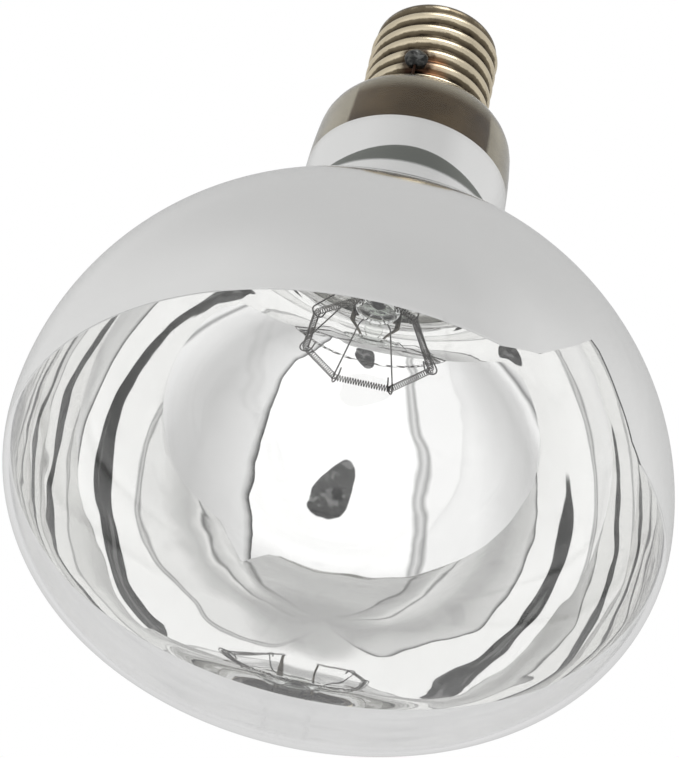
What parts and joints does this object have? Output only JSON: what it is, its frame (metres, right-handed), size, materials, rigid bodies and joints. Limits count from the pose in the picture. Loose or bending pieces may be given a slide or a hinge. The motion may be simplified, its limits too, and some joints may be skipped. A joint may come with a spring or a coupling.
{
  "type": "infrared heat lamp bulb",
  "caption": "Infrared reflector heat lamp with a clear domed face, mirrored reflector, coiled filament ring on hooked supports and an E27 screw cap.",
  "frame": {"origin": "lowest point of the domed face, on the lamp's axis", "axes": "+Z along the lamp's axis from the face up to the screw cap, as the lamp hangs in use; -Y is the side with the side solder"},
  "size_m": [0.125, 0.125, 0.1621],
  "materials": {
    "bulb_glass": "clear blown glass, fire polished",
    "mirror_film": "bright evaporated aluminium behind glass",
    "brown_film": "heat-browned metal film behind glass",
    "stem_glass": "clear lead glass, flame worked",
    "tungsten": "drawn tungsten wire, coiled, grey",
    "molybdenum": "drawn molybdenum wire",
    "nickel_wire": "drawn nickel wire",
    "copper_wire": "drawn copper wire",
    "cement": "baked basing cement, matt",
    "nickel_shell": "rolled brass sheet, nickel plated, tarnished",
    "black_glass": "cast black glass",
    "tinned_brass": "stamped brass, tinned",
    "solder": "soft solder, pressed",
    "burnt_solder": "soft solder, darkened by heat, with burnt flux"
  },
  "bodies": {
    "root": {"glass_bulb": "bulb_glass", "mirror_film": "mirror_film", "neck_film": "brown_film", "stem_flare": "stem_glass", "stem_press": "stem_glass", "exhaust_tube": "stem_glass", "arbor": "stem_glass", "support_wire_1": "molybdenum", "support_wire_2": "molybdenum", "support_wire_3": "molybdenum", "support_wire_4": "molybdenum", "support_wire_5": "molybdenum", "support_wire_6": "molybdenum", "filament": "tungsten", "inner_lead_1": "nickel_wire", "inner_lead_2": "nickel_wire", "centre_lead": "copper_wire", "side_lead": "copper_wire", "cap_cement": "cement", "screw_shell": "nickel_shell", "cap_insulator": "black_glass", "contact_plate": "tinned_brass", "contact_solder": "solder", "side_solder": "burnt_solder"}
  },
  "joints": []
}
